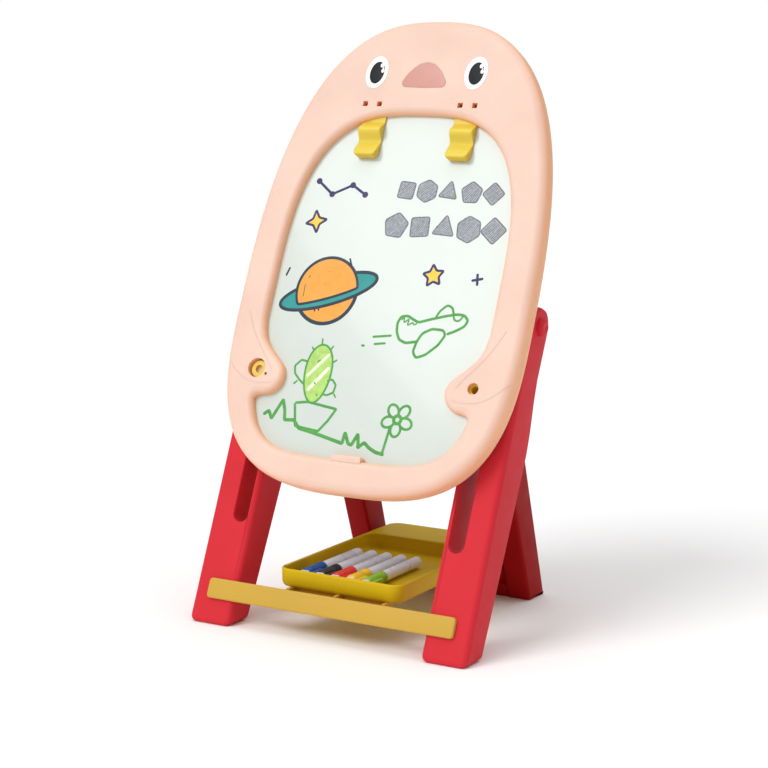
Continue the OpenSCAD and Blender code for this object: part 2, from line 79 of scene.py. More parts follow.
# one moulded finish: the colour drifts with soft noise, turns to a deeper one as painted shade where the
# surface turns away from a face direction, and lightens on worn corners; fine noise raises the grain and a
# middle one varies the roughness
def moulded(name, look):
    mat = bpy.data.materials.new(name)
    mat.use_nodes = True
    tree = mat.node_tree
    shader = tree.nodes["Principled BSDF"]
    link = tree.links.new

    def node(kind, **values):
        made = tree.nodes.new(kind)
        for k, v in values.items():
            if k in made.inputs:
                made.inputs[k].default_value = v
            else:
                setattr(made, k, v)
        return made

    def mix(share, first, second):
        made = tree.nodes.new("ShaderNodeMix")
        made.data_type = "RGBA"
        for slot, value in ((0, share), (6, first), (7, second)):
            if hasattr(value, "is_output"):
                link(value, made.inputs[slot])
            else:
                made.inputs[slot].default_value = value
        return made.outputs[2]

    def span(source, low, high, toLow, toHigh):
        made = tree.nodes.new("ShaderNodeMapRange")
        link(source, made.inputs[0])
        for slot, value in zip((1, 2, 3, 4), (low, high, toLow, toHigh)):
            made.inputs[slot].default_value = value
        return made.outputs[0]

    place = node("ShaderNodeTexCoord").outputs["Object"]
    soft = node("ShaderNodeTexNoise", Scale=look.get("driftScale", 14.0), Detail=3.0)
    grain = node("ShaderNodeTexNoise", Scale=look.get("grainScale", 1500.0), Detail=4.0)
    smear = node("ShaderNodeTexNoise", Scale=look.get("smearScale", 55.0), Detail=6.0)
    for noise in (soft, grain, smear):
        link(place, noise.inputs["Vector"])
    base = srgb(*look["colour"])
    drift = look.get("drift", 0.05)
    lighter = tuple(min(1.0, c * (1 + drift)) for c in base[:3]) + (1.0,)
    darker = tuple(c * (1 - drift) for c in base[:3]) + (1.0,)
    colour = mix(span(soft.outputs[0], 0.3, 0.7, 0.0, 1.0), darker, lighter)
    if "deep" in look:  # painted shade: the side walls of a thin shell take a deeper colour than its face, standing in for the shade on them
        facing = node("ShaderNodeNewGeometry")
        dot = node("ShaderNodeVectorMath", operation="DOT_PRODUCT")
        link(facing.outputs["Normal"], dot.inputs[0])
        dot.inputs[1].default_value = look.get("face", tuple(outward))
        size = node("ShaderNodeMath", operation="ABSOLUTE")
        link(dot.outputs["Value"], size.inputs[0])
        colour = mix(span(size.outputs[0], *look.get("deepFrom", (0.15, 0.95)), 1.0, 0.0), colour,
                     srgb(*look["deep"]))
    if "worn" in look:
        edge = node("ShaderNodeNewGeometry")
        rub = node("ShaderNodeMath", operation="MULTIPLY")
        link(span(edge.outputs["Pointiness"], 0.53, 0.62, 0.0, look.get("wear", 0.35)), rub.inputs[0])
        link(span(smear.outputs[0], 0.45, 0.7, 0.0, 1.0), rub.inputs[1])
        colour = mix(rub.outputs[0], colour, srgb(*look["worn"]))
    link(colour, shader.inputs["Base Color"])
    rough = look.get("roughness", 0.45)
    link(span(smear.outputs[0], 0.3, 0.7, rough - look.get("roughSwing", 0.06),
              rough + look.get("roughSwing", 0.06)),
         shader.inputs["Roughness"])
    bump = node("ShaderNodeBump", Strength=look.get("grain", 0.12), Distance=0.0002)
    link(grain.outputs[0], bump.inputs["Height"])
    link(bump.outputs[0], shader.inputs["Normal"])
    for key, socket in (("metal", "Metallic"), ("coat", "Coat Weight"), ("glow", "Subsurface Weight"),
                        ("shine", "Specular IOR Level")):
        if key in look:
            shader.inputs[socket].default_value = look[key]
    if "glow" in look:
        shader.inputs["Subsurface Radius"].default_value = (1.0, 0.45, 0.3)
        shader.inputs["Subsurface Scale"].default_value = look.get("glowDepth", 0.004)
    return mat


finishes = {
    # the deep colours of peachPlastic and yellowPlastic are painted shade on their side walls, mixed in by
    # surface direction
    "peachPlastic": dict(colour=(240, 205, 188), deep=(255, 186, 142), deepFrom=(0.1, 0.97), roughness=0.42,
                         worn=(255, 230, 214), shine=0.25, glow=0.25, glowDepth=0.010),
    "whiteGloss": dict(colour=(212, 221, 214), drift=0.012, roughness=0.14, roughSwing=0.04, grain=0.02,
                       coat=0.15, shine=0.3),
    "chalkSlate": dict(colour=(34, 44, 40), drift=0.25, driftScale=22.0, roughness=0.86, grain=0.4,
                       worn=(120, 128, 122)),
    "nosePrint": dict(colour=(206, 144, 132), drift=0.02, roughness=0.4, grain=0.05),
    "whitePrint": dict(colour=(252, 252, 250), drift=0.01, roughness=0.3, grain=0.04),
    "blackPrint": dict(colour=(24, 28, 32), drift=0.06, roughness=0.4, grain=0.04, shine=0.15),
    "yellowPlastic": dict(colour=(232, 208, 78), deep=(226, 186, 52), deepFrom=(0.2, 0.9), drift=0.04,
                          roughness=0.34, grain=0.06, worn=(255, 240, 170), shine=0.3),
    "steelPlate": dict(colour=(176, 178, 182), metal=1.0, roughness=0.32, grainScale=900.0, grain=0.1,
                       drift=0.06),
    "redPlastic": dict(colour=(213, 46, 57), drift=0.035, roughness=0.5, worn=(240, 100, 104), shine=0.12),
    # a darker copy of the red plastic for the rear legs and panel: painted shade
    "rearRedPaintedShade": dict(colour=(160, 8, 12), drift=0.04, roughness=0.52, worn=(206, 70, 72), shine=0.1),
    "barPlastic": dict(colour=(206, 166, 66), drift=0.03, roughness=0.46, worn=(240, 206, 120), shine=0.2),
    "trayPlastic": dict(colour=(214, 180, 16), drift=0.04, roughness=0.46, worn=(238, 200, 90), shine=0.15),
    "barrelPlastic": dict(colour=(238, 242, 250), drift=0.01, roughness=0.3, grain=0.03, grainScale=600.0,
                          shine=0.3),
    "endPlastic": dict(colour=(250, 250, 250), drift=0.015, roughness=0.3, grain=0.04),
    "capBlue": dict(colour=(12, 82, 158), drift=0.06, roughness=0.3, grain=0.04, worn=(70, 130, 190)),
    "capBlack": dict(colour=(34, 34, 38), drift=0.08, roughness=0.3, grain=0.04, worn=(90, 90, 94)),
    "capRed": dict(colour=(232, 52, 30), drift=0.05, roughness=0.3, grain=0.04, worn=(246, 120, 100)),
    "capYellow": dict(colour=(250, 202, 16), drift=0.04, roughness=0.3, grain=0.04, worn=(255, 228, 120)),
    "capGreen": dict(colour=(142, 194, 34), drift=0.05, roughness=0.3, grain=0.04, worn=(190, 222, 110)),
    "inkNavy": dict(colour=(44, 34, 92), drift=0.12, driftScale=160.0, roughness=0.5, grain=0.05),
    "inkDark": dict(colour=(16, 42, 62), drift=0.12, driftScale=160.0, roughness=0.5, grain=0.05),
    "inkGreen": dict(colour=(72, 158, 62), drift=0.16, driftScale=160.0, roughness=0.5, grain=0.05),
    "inkLime": dict(colour=(176, 216, 110), drift=0.12, driftScale=160.0, roughness=0.5, grain=0.05),
    "inkOrange": dict(colour=(244, 164, 58), drift=0.06, driftScale=120.0, roughness=0.5, grain=0.05),
    "inkTeal": dict(colour=(22, 150, 146), drift=0.06, driftScale=120.0, roughness=0.5, grain=0.05),
    "inkYellow": dict(colour=(252, 206, 64), drift=0.06, driftScale=120.0, roughness=0.5, grain=0.05),
    "inkPale": dict(colour=(236, 244, 214), drift=0.03, roughness=0.5, grain=0.05),
    "pencilPale": dict(colour=(172, 176, 182), drift=0.2, driftScale=420.0, roughness=0.7, grain=0.3),
    "pencilGrey": dict(colour=(122, 125, 134), drift=0.25, driftScale=420.0, roughness=0.7, grain=0.3),
    # painted shade for the floors of the holes
    "holeShade": dict(colour=(112, 40, 26), drift=0.1, roughness=0.6),
}
finish = {name: moulded(name, look) for name, look in finishes.items()}
print("finishes made,", len(finish))


# walks a closed line at even steps, then blurs it along its own length with a bell curve that wide
def evenLine(points, count, blur=0.0):
    p = np.asarray(points, float)
    closed = np.vstack([p, p[:1]])
    along = np.concatenate([[0], np.cumsum(np.hypot(*np.diff(closed, axis=0).T))])
    at = np.arange(count) * along[-1] / count
    even = np.stack([np.interp(at, along, closed[:, k]) for k in (0, 1)], -1)
    if blur:
        waves = np.fft.fftfreq(count, along[-1] / count)
        even = np.fft.ifft(np.fft.fft(even, axis=0) * np.exp(-2 * (np.pi * waves * blur) ** 2)[:, None],
                           axis=0).real
    return even


# unit direction to the left of travel at each point of a closed line, inwards when it runs anticlockwise
def leftward(line):
    run = np.roll(line, -1, 0) - np.roll(line, 1, 0)
    run /= np.maximum(np.hypot(*run.T)[:, None], 1e-12)
    return np.stack([-run[:, 1], run[:, 0]], -1)


# |x / w| to the power p plus |y / h| to the power p is 1, with its own h and p above and below the centre
def oval(width, centre, low, high, powerLow, powerHigh, count=1440):
    a = np.linspace(0, 2 * np.pi, count, endpoint=False) + np.pi / 2
    c, s = np.cos(a), np.sin(a)
    power, height = np.where(s < 0, powerLow, powerHigh), np.where(s < 0, centre - low, high - centre)
    return np.stack([width * np.sign(c) * abs(c) ** (2 / power),
                     centre + height * np.sign(s) * abs(s) ** (2 / power)], -1)


# rectangle with a quarter circle at each corner, anticlockwise from the middle of its lower side
def roundBox(x0, y0, x1, y1, radius, count, turns=24):
    r = np.broadcast_to(np.asarray(radius, float), 4)
    a = np.linspace(0, np.pi / 2, turns)
    corners = [(x1 - r[0], y0 + r[0], -np.pi / 2, r[0]), (x1 - r[1], y1 - r[1], 0, r[1]),
               (x0 + r[2], y1 - r[2], np.pi / 2, r[2]), (x0 + r[3], y0 + r[3], np.pi, r[3])]
    arcs = [np.stack([cx + k * np.cos(a + start), cy + k * np.sin(a + start)], -1)
            for cx, cy, start, k in corners]
    return evenLine(np.vstack([[((x0 + x1) / 2, y0)], *arcs]), count)


# quads between the rows of a grid of points, closed along either side if asked
def gridFaces(rows, cols, closeRows=False, closeCols=True):
    i, j = np.meshgrid(np.arange(rows if closeRows else rows - 1),
                       np.arange(cols if closeCols else cols - 1), indexing="ij")
    a, b = i * cols + j, i * cols + (j + 1) % cols
    c, d = ((i + 1) % rows) * cols + (j + 1) % cols, ((i + 1) % rows) * cols + j
    return np.stack([a, b, c, d], -1).reshape(-1, 4).tolist()


# a stack of closed rows as one skin; open ends are filled with one flat face each
def skin(rows, closeRows=False):
    grid = np.stack(rows)
    faces = gridFaces(grid.shape[0], grid.shape[1], closeRows)
    if not closeRows:
        last = (grid.shape[0] - 1) * grid.shape[1]
        faces += [list(range(grid.shape[1]))[::-1], list(range(last, last + grid.shape[1]))]
    return grid.reshape(-1, 3), faces


# several skins as one, with the later ones' corners counted on from the earlier ones'
def joined(parts):
    start = np.cumsum([0] + [len(p[0]) for p in parts])
    return np.vstack([p[0] for p in parts]), [[v + int(k) for v in f] for p, k in zip(parts, start)
                                              for f in p[1]]


# the space inside: a sixth of the sum over triangles of a . (b x c), negative when the faces look inwards
def turnedOut(part):
    points, faces = part
    tri = np.array([(f[0], f[k], f[k + 1]) for f in faces for k in range(1, len(f) - 1)])
    a, b, c = (points[tri[:, k]] for k in range(3))
    return part if np.einsum("ij,ij->i", a, np.cross(b, c)).sum() >= 0 else (points,
                                                                             [f[::-1] for f in faces])


# one finished object from a skin: smooth up to the sharp angle, riding on its body, standing for CAD nodes
def piece(name, part, body, look, replaces=(), sharp=40.0):
    points, faces = part
    mesh = bpy.data.meshes.new(name)
    mesh.from_pydata(points.tolist(), [], faces)
    mesh.update()
    mesh.polygons.foreach_set("use_smooth", np.ones(len(mesh.polygons), bool))
    mesh.set_sharp_from_angle(angle=math.radians(sharp))
    mesh.materials.append(finish[look])
    made = bpy.data.objects.new(name, mesh)
    bpy.context.scene.collection.objects.link(made)
    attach(made, body)
    if replaces:
        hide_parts(*replaces)
    return made


# steps of a quarter round: how far it has come in, and how far it is still short of the face
def quarter(radius, steps=7):
    a = np.linspace(0, np.pi / 2, steps)
    return [(radius * (1 - math.cos(k)), radius * (1 - math.sin(k))) for k in a]


# an outline pushed from low to high along the third direction, with both rims rounded by a quarter circle
def slab(outline, low, high, radius, place, steps=6):
    inward = leftward(outline)
    rims = quarter(radius, steps)
    rows = [place(*(outline + inward * i).T, low + d) for i, d in rims[::-1]]
    rows += [place(*(outline + inward * i).T, high - d) for i, d in rims]
    return turnedOut(skin(rows))


# a band between two closed outlines: out from the back, up the outer wall, round its edge, over the face,
# round the inner edge and down the inner wall; front and back depth are functions of the place on it
def band(outer, inner, front, back, outerRound, innerRound, backRound, place, rebate=None, faceSteps=12):
    inOuter, outInner = leftward(outer), -leftward(inner)
    rows = []

    def add(line, depth):
        rows.append(place(*line.T, depth))

    def rim(line, away, radius, depthAt, sign, turn):
        for k in turn:
            at = line + away * (radius * (1 - math.cos(k)))[:, None]
            add(at, depthAt(at) - sign * radius * (1 - math.sin(k)))

    up, down = np.linspace(0, np.pi / 2, 9), np.linspace(np.pi / 2, 0, 9)
    count = len(outer)
    ro, ri, rb = (np.broadcast_to(np.asarray(r, float), count) for r in (outerRound, innerRound, backRound))
    rim(outer, inOuter, ro, front, 1, up)
    start, end = outer + inOuter * ro[:, None], inner + outInner * ri[:, None]
    for share in np.linspace(0, 1, faceSteps + 2)[1:-1]:
        at = start + (end - start) * share
        add(at, front(at))
    rim(inner, outInner, ri, front, 1, down)
    if rebate:  # the panel's seat: down to the panel's face, out along it and down to the back
        seat, seatDepth = rebate
        add(inner, np.full(count, seatDepth))
        add(seat, np.full(count, seatDepth))
        begin = seat
        add(seat, back(seat))
    else:
        rim(inner, outInner, rb, back, -1, up)
        begin = inner + outInner * rb[:, None]
    finishLine = outer + inOuter * rb[:, None]
    for share in np.linspace(0, 1, faceSteps + 2)[1:-1]:
        at = begin + (finishLine - begin) * share
        add(at, back(at))
    rim(outer, inOuter, rb, back, -1, down)
    return turnedOut(skin(rows, closeRows=True))


# a profile of (along, radius) turned once about an axis through centre
def turned(profile, centre, axis, count=64):
    axis = np.asarray(axis, float) / np.linalg.norm(axis)
    side = np.cross(axis, [0.0, 0, 1.0] if abs(axis[2]) < 0.9 else [1.0, 0, 0])
    side /= np.linalg.norm(side)
    a = np.linspace(0, 2 * np.pi, count, endpoint=False)[:, None]
    spoke = np.cos(a) * side + np.sin(a) * np.cross(axis, side)
    rows = [np.asarray(centre) + axis * along + spoke * radius for along, radius in profile]
    return turnedOut(skin(rows))


# cuts closed tools out of a finished piece and keeps the result as its mesh
def cutOut(made, tools):
    holder = bpy.data.meshes.new("cutter")
    points, faces = joined(tools)
    holder.from_pydata(points.tolist(), [], faces)
    cutter = bpy.data.objects.new("cutter", holder)
    bpy.context.scene.collection.objects.link(cutter)
    step = made.modifiers.new("cut", "BOOLEAN")
    step.operation, step.solver, step.object = "DIFFERENCE", "EXACT", cutter
    bpy.context.view_layer.update()
    graph = bpy.context.evaluated_depsgraph_get()
    result = bpy.data.meshes.new_from_object(made.evaluated_get(graph), depsgraph=graph)
    made.modifiers.clear()
    made.data = result
    result.polygons.foreach_set("use_smooth", np.ones(len(result.polygons), bool))
    result.set_sharp_from_angle(angle=math.radians(32))
    bpy.data.objects.remove(cutter)


# the board's two moulded rings
board = dict(outer=(0.168, 0.340, 0.149, 0.661, 3.0, 2.6), window=(0.131, 0.370, 0.184, 0.556, 4.0, 2.9),
             seat=0.0082, front=0.031, middle=0.017, back=0.003, panel=0.004, outerRound=0.0095,
             innerRound=0.0065,
             blur=0.0014, count=560)
# right hand lobe from its upper root round the blunt tip to the inner edge below it
handLine = [(0.1305, 0.322), (0.1285, 0.311), (0.1245, 0.3015), (0.1175, 0.293), (0.1095, 0.2855),
            (0.102, 0.279),
            (0.0965, 0.273), (0.094, 0.2665), (0.0943, 0.259), (0.0975, 0.252), (0.103, 0.2468),
            (0.110, 0.2438),
            (0.1165, 0.2430), (0.1215, 0.2418), (0.1252, 0.2385)]
upRight = oval(*board["window"])
upRight = upRight[(upRight[:, 0] > 1e-5) & (upRight[:, 1] > handLine[0][1])]
lowRight = oval(*board["window"][:4], 4.8, board["window"][5])
lowRight = lowRight[(lowRight[:, 0] > 1e-5) & (lowRight[:, 1] < handLine[-1][1])]
half = np.vstack([upRight[np.argsort(-upRight[:, 1])], handLine, lowRight[np.argsort(-lowRight[:, 1])]])
halfLeft = half * (-1, 1)
windowLine = np.vstack([[(0, board["window"][3])], halfLeft, [(0, board["window"][2])], half[::-1]])
windowLine = evenLine(windowLine, board["count"], board["blur"])
outerLine = evenLine(oval(*board["outer"]), board["count"])
plainWindow = evenLine(oval(*board["window"]), board["count"])
seatLine = plainWindow - leftward(plainWindow) * board["seat"]
inset = 0.00015  # the two shells stop this short of each other, which leaves a fine seam
frontShell = band(outerLine, windowLine, lambda p: np.full(len(p), board["front"]),
                  lambda p: np.full(len(p), board["middle"] + inset), board["outerRound"],
                  board["innerRound"], 0.0005,
                  onLean, rebate=(seatLine, board["middle"] + board["panel"]), faceSteps=14)
rearShell = band(outerLine, windowLine, lambda p: np.full(len(p), -board["back"]),
                 lambda p: np.full(len(p), -board["middle"] + inset), board["outerRound"],
                 board["innerRound"], 0.0005,
                 lambda x, s, t: onLean(x, s, -np.asarray(t)),
                 rebate=(seatLine, board["panel"] - board["middle"]), faceSteps=14)
shell = piece("frontShell", frontShell, "board", "peachPlastic", ["front_frame"])
rear = piece("rearShell", rearShell, "board", "peachPlastic", ["rear_frame"])

# holes in the front: a recess and bore for each lock pin, two square holes over each clip,
# and a dot on the left hand
holes = dict(pinX=0.126, pinS=0.269, recess=0.0104, recessDeep=0.009, bore=0.00606,
             squareX=(0.0476, 0.0644), squareS=0.565,
             square=0.0058, squareDeep=0.0075, dot=(-0.1135, 0.2635), dotRadius=0.0016)


# a circle, anticlockwise: centre + radius (cos a, sin a)
def ringLine(x, s, radius, count=48):
    a = np.linspace(0, 2 * np.pi, count, endpoint=False)
    return np.stack([x + radius * np.cos(a), s + radius * np.sin(a)], -1)


# a square, anticlockwise from its lower left corner: centre plus or minus half a side
def squareLine(x, s, side):
    return np.array([(x, s)]) + np.array([(-1, -1), (1, -1), (1, 1), (-1, 1)]) * side / 2


# an outline pushed from low to high with sharp rims
def plainSlab(outline, low, high, place=onLean):
    return turnedOut(skin([place(*outline.T, low), place(*outline.T, high)]))


top = board["front"]
squareTools = [plainSlab(squareLine(side * x, holes["squareS"], holes["square"]), top - holes["squareDeep"],
                         top + 0.01)
               for side in (-1, 1) for x in holes["squareX"]]
pinTools = [plainSlab(ringLine(side * holes["pinX"], holes["pinS"], r), low, top + 0.01)
            for side in (-1, 1) for r, low in ((holes["recess"], top - holes["recessDeep"]),
                                               (holes["bore"], 0.010))]
dotTool = [plainSlab(ringLine(*holes["dot"], holes["dotRadius"], 20), top - 0.004, top + 0.01)]
cutOut(shell, squareTools + pinTools + dotTool)
cutOut(rear, [plainSlab(ringLine(side * holes["pinX"], holes["pinS"], holes["bore"]), -0.01, 0.03)
              for side in (-1, 1)])
# dark plates at the bottom of the square holes and of the dot on the left hand: painted shade, where the
# floors would otherwise be lit like the face
piece("holeFloorShades", joined([plainSlab(squareLine(side * x, holes["squareS"], holes["square"] - 0.0002),
                                      top - holes["squareDeep"] - 0.001, top - holes["squareDeep"] + 0.0006)
                            for side in (-1, 1) for x in holes["squareX"]]), "board", "holeShade")
piece("dotFloorShade", plainSlab(ringLine(*holes["dot"], holes["dotRadius"] - 0.0001, 20), top - 0.0045,
                            top - 0.0012),
      "board", "holeShade")
print("board shells made")

# guides on the back of the board that run in the legs' slots
guide = dict(x=0.126, s=0.269, width=0.0168, length=0.036, low=-0.030, high=0.0042, edge=0.0012)
for side, word in ((-1, "Left"), (1, "Right")):
    w, h = guide["width"] / 2, guide["length"] / 2
    stadium = roundBox(side * guide["x"] - w, guide["s"] - h, side * guide["x"] + w, guide["s"] + h,
                       w * 0.999, 96)
    made = piece("slotGuide" + word, slab(stadium, guide["low"], guide["high"], guide["edge"], onLean),
                 "board", "peachPlastic")
    cutOut(made, [plainSlab(ringLine(side * guide["x"], guide["s"], holes["bore"]), guide["low"] - 0.01,
                            guide["high"] + 0.01)])


# a line drawn on a surface: a flat-bottomed bead as wide as the pen, narrowed to a round at its two ends
def bead(points, width, high, low, place=onLean, closed=False, blur=0.0006, step=0.0009):
    p = np.asarray(points, float)
    run = np.hypot(*np.diff(np.vstack([p, p[:1]]) if closed else p, axis=0).T)
    count = max(8, int(run.sum() / step))
    if closed:
        p = evenLine(p, count, blur)
        normal = leftward(p)
        half = np.full(count, width / 2)
    else:
        along = np.concatenate([[0], np.cumsum(run)])
        at = np.linspace(0, along[-1], count)
        p = np.stack([np.interp(at, along, p[:, k]) for k in (0, 1)], -1)
        reach = max(1, int(blur * 2 / step))
        kernel = np.hanning(2 * reach + 3)[1:-1]
        padded = np.vstack([2 * p[0] - p[reach:0:-1], p, 2 * p[-1] - p[-2:-reach - 2:-1]])
        p = np.stack([np.convolve(padded[:, k], kernel / kernel.sum(), "valid") for k in (0, 1)], -1)
        run = np.gradient(p, axis=0)
        run /= np.maximum(np.hypot(*run.T)[:, None], 1e-12)
        normal = np.stack([-run[:, 1], run[:, 0]], -1)
        near = np.minimum(at, at[-1] - at)
        half = width / 2 * np.sqrt(np.clip(1 - (1 - np.minimum(near / (width / 2), 1)) ** 2, 0.02, 1))
    a = np.linspace(0, 2 * np.pi, 8, endpoint=False)
    xy = p[:, None] + normal[:, None] * (np.cos(a)[None, :] * half[:, None])[..., None]
    depth = low + (high - low) * np.clip(np.sin(a), 0, 1)[None, :] - 0.00005 * (np.sin(a) < -0.1)[None, :]
    rows = list(place(xy[..., 0], xy[..., 1], np.broadcast_to(depth, xy.shape[:2])))
    return turnedOut(skin(rows, closeRows=closed))


# a point on the front shell: level on the face, and down its rounded outer rim by the arc's own drop
def onFace(x, s, t):
    x, s, t = np.broadcast_arrays(np.asarray(x, float), np.asarray(s, float), np.asarray(t, float))
    gap = np.hypot(x.ravel()[:, None] - outerLine[:, 0],
                   s.ravel()[:, None] - outerLine[:, 1]).min(1).reshape(x.shape)
    short = np.clip(board["outerRound"] - gap, 0, board["outerRound"])
    return onLean(x, s, t - board["outerRound"] + np.sqrt(board["outerRound"] ** 2 - short ** 2))


# fine moulded lines that draw the arm and hand over each lobe
arm = dict(width=0.0010, rise=0.00028,
           upper=[(0.1500, 0.330), (0.1420, 0.314), (0.1330, 0.300), (0.1235, 0.288), (0.1140, 0.277),
                  (0.1075, 0.268)],
           lower=[(0.1640, 0.277), (0.1560, 0.269), (0.1470, 0.2615), (0.1370, 0.2560), (0.1250, 0.2535),
                  (0.1130, 0.2535), (0.1030, 0.2560)])
for side, word in ((-1, "Left"), (1, "Right")):
    lines = [bead(np.array(arm[k]) * (side, 1), arm["width"], top + arm["rise"], top - 0.0003, onFace,
                  blur=0.004)
             for k in ("upper", "lower")]
    piece("armLine" + word, joined(lines), "board", "peachPlastic")
# small tab in the middle of the lower lip
tab = dict(low=(-0.016, 0.181), high=(0.018, 0.1885), round=0.0016, depth=(0.0215, 0.0302))
piece("lipTab", slab(roundBox(*tab["low"], *tab["high"], tab["round"], 96), *tab["depth"], 0.001, onLean),
      "board", "peachPlastic")
print("arms and tab made")

# face: tilted oval eyes, pupils with three small lights, a blunt three-cornered nose
face = dict(eyeX=0.0585, eyeS=0.6005, tilt=math.radians(-5), white=(0.0130, 0.0182), pupil=(0.0084, 0.0124),
            rise=(0.0004, 0.0007, 0.0009))


# an oval turned about its centre: (width cos a, height sin a) turned by the tilt
def tiltedOval(x, s, width, height, tilt, count=96):
    a = np.linspace(0, 2 * np.pi, count, endpoint=False)
    c, n = width * np.cos(a), height * np.sin(a)
    return np.stack([x + c * math.cos(tilt) - n * math.sin(tilt),
                     s + c * math.sin(tilt) + n * math.cos(tilt)], -1)


for side, word in ((-1, "left"), (1, "right")):
    x, s = side * face["eyeX"], face["eyeS"]
    low, white, dark = top - 0.0002, top + face["rise"][0], top + face["rise"][1]
    whiteOval = tiltedOval(x, s, *face["white"], face["tilt"])
    darkOval = tiltedOval(x + 0.0005, s - 0.0005, *face["pupil"], face["tilt"])
    piece("eyeWhite" + word.title(), slab(whiteOval, low, white, 0.0003, onLean), "board",
          "whitePrint", ["eye_" + word])
    piece("pupil" + word.title(), slab(darkOval, low, dark, 0.0002, onLean), "board",
          "blackPrint", ["pupil_" + word])
    lights = [slab(tiltedOval(x + dx, s + ds, r, r * 1.1, 0, 40), low, top + face["rise"][2], 0.0001,
                   onLean)
              for dx, ds, r in ((0.0052, 0.0076, 0.0022), (0.0070, 0.0044, 0.0009),
                                (0.0070, 0.0014, 0.0019))]
    piece("pupilLight" + word.title(), joined(lights), "board", "whitePrint")
noseLine = evenLine([(-0.0245, 0.5845), (0.0, 0.5838), (0.0245, 0.5845), (0.0262, 0.590), (0.0195, 0.601),
                     (0.0095, 0.6102), (0, 0.6125),
                     (-0.0095, 0.6102), (-0.0195, 0.601), (-0.0262, 0.590)], 160, 0.0022)
piece("noseInlay", slab(noseLine, top - 0.0002, top + 0.0005, 0.0003, onLean), "board", "nosePrint",
      ["nose"])
print("face made")

# paper clips: a tongue that runs down from its pin with a bulge, a pinch and a flare,
# with sides that reach back almost to the panel
clip = dict(x=0.054, half=0.0135, thick=0.0011, start=0.561, length=0.054, rest=0.0224, bulge=0.0078,
            bulgeFrom=0.24, pinch=0.66,
            flare=0.0088, behind=0.0213, endRound=0.008, barrel=0.0024, barrelS=0.563, barrelT=0.024)
u = np.linspace(0, 1, 110)
swell = np.sin(np.pi * np.clip((u - clip["bulgeFrom"]) / (clip["pinch"] - clip["bulgeFrom"]), 0, 1)) ** 2
flare = np.sin(np.pi / 2 * np.clip((u - clip["pinch"]) / (1 - clip["pinch"]), 0, 1)) ** 1.3
tongueTop = clip["rest"] + clip["thick"] + clip["bulge"] * swell + clip["flare"] * flare
fromEnd = np.clip((1 - u) * clip["length"] / clip["endRound"], 0, 1)
halfWide = clip["half"] * (0.62 + 0.38 * np.sqrt(1 - (1 - fromEnd) ** 2))
nearEnd = np.sqrt(1 - (1 - np.clip((1 - u) * clip["length"] / 0.0028, 0, 1)) ** 2)
tongueTop = clip["behind"] + (tongueTop - clip["behind"]) * (0.45 + 0.55 * nearEnd)
turn = np.linspace(0, 2 * np.pi, 56, endpoint=False)
wide = np.sign(np.cos(turn)) * abs(np.cos(turn)) ** 0.2
deep = np.sign(np.sin(turn)) * abs(np.sin(turn)) ** 0.35
middle, halfDeep = (tongueTop + clip["behind"]) / 2, (tongueTop - clip["behind"]) / 2
for side, word in ((-1, "left"), (1, "right")):
    rows = onLean(side * clip["x"] + wide[None, :] * halfWide[:, None],
                  np.broadcast_to((clip["start"] - clip["length"] * u)[:, None], (110, 56)),
                  middle[:, None] + deep[None, :] * halfDeep[:, None])
    r = clip["barrel"]
    barrel = turned([(-clip["half"], 0.0013), (-clip["half"], r - 0.0004), (0.0004 - clip["half"], r),
                     (clip["half"] - 0.0004, r),
                     (clip["half"], r - 0.0004), (clip["half"], 0.0013)],
                    onLean(side * clip["x"], clip["barrelS"], clip["barrelT"]), (1, 0, 0), 40)
    piece("clip" + word.title(), joined([turnedOut(skin(list(rows))), barrel]), "clip_" + word,
          "yellowPlastic", ["clip_" + word], sharp=60)
print("clips made")

# front legs: a slotted plank, flat in front, thickest at a knee behind the board, round at the hinge
leg = dict(inner=0.111, outer=0.161, head=0.020, headAt=0.350, slotX=(0.11725, 0.13475),
           slotS=(0.1105, 0.2872), corner=0.0075,
           backAt=(0, 0.205, 0.225, 0.245, 0.280, 0.300, 0.350),
           back=(0.033, 0.045, 0.046, 0.0445, 0.0395, 0.038, 0.040),
           edge=0.0060, slotEdge=0.0012, backEdge=0.0012, footEnds=0.060)


# how far into the head a height lies, as a quarter turn: 0 below the hinge, 90 degrees at the very top
def headTurn(s):
    return np.clip((s - leg["headAt"]) / leg["head"], 0, 0.97) * np.pi / 2


# the front face is flat, and falls back round the head by head x (cos w - 1), w being the head's turn
def legFront(p):
    return leg["head"] * (np.cos(headTurn(p[:, 1])) - 1)


# the back face is straight between the depths given, and follows the head by -head x (1 + cos w)
def legBack(p):
    w = headTurn(p[:, 1])
    return np.where(w > 0, -leg["head"] * (1 + np.cos(w)), -np.interp(p[:, 1], leg["backAt"], leg["back"]))


# heights past the hinge go round the head, and those by the foot are sheared until it stands flat
def onLeg(x, s, t):
    s, t = np.broadcast_arrays(np.asarray(s, float), np.asarray(t, float))
    bent = np.where(s > leg["headAt"], leg["headAt"] + leg["head"] * np.sin(headTurn(s)), s)
    return onLean(x, bent - t * math.tan(lean) * np.clip(1 - s / leg["footEnds"], 0, 1), t)


legBox = roundBox(leg["inner"], 0, leg["outer"], leg["headAt"] + leg["head"], leg["corner"], 720)
slotBox = roundBox(leg["slotX"][0], leg["slotS"][0], leg["slotX"][1], leg["slotS"][1],
                   (leg["slotX"][1] - leg["slotX"][0]) * 0.4999, 720)
legEdge = np.minimum(leg["edge"], 0.42 * (legFront(legBox) - legBack(legBox)))
for side, word in ((-1, "left"), (1, "right")):
    mirror = lambda x, s, t, side=side: onLeg(np.asarray(x) * side, s, t)
    part = band(legBox, slotBox, legFront, legBack, legEdge, leg["slotEdge"], leg["backEdge"], mirror,
                faceSteps=16)
    piece("frontLeg" + word.title(), part, "front_stand", "redPlastic",
          ["front_leg_" + word], sharp=50)
print("front legs made")

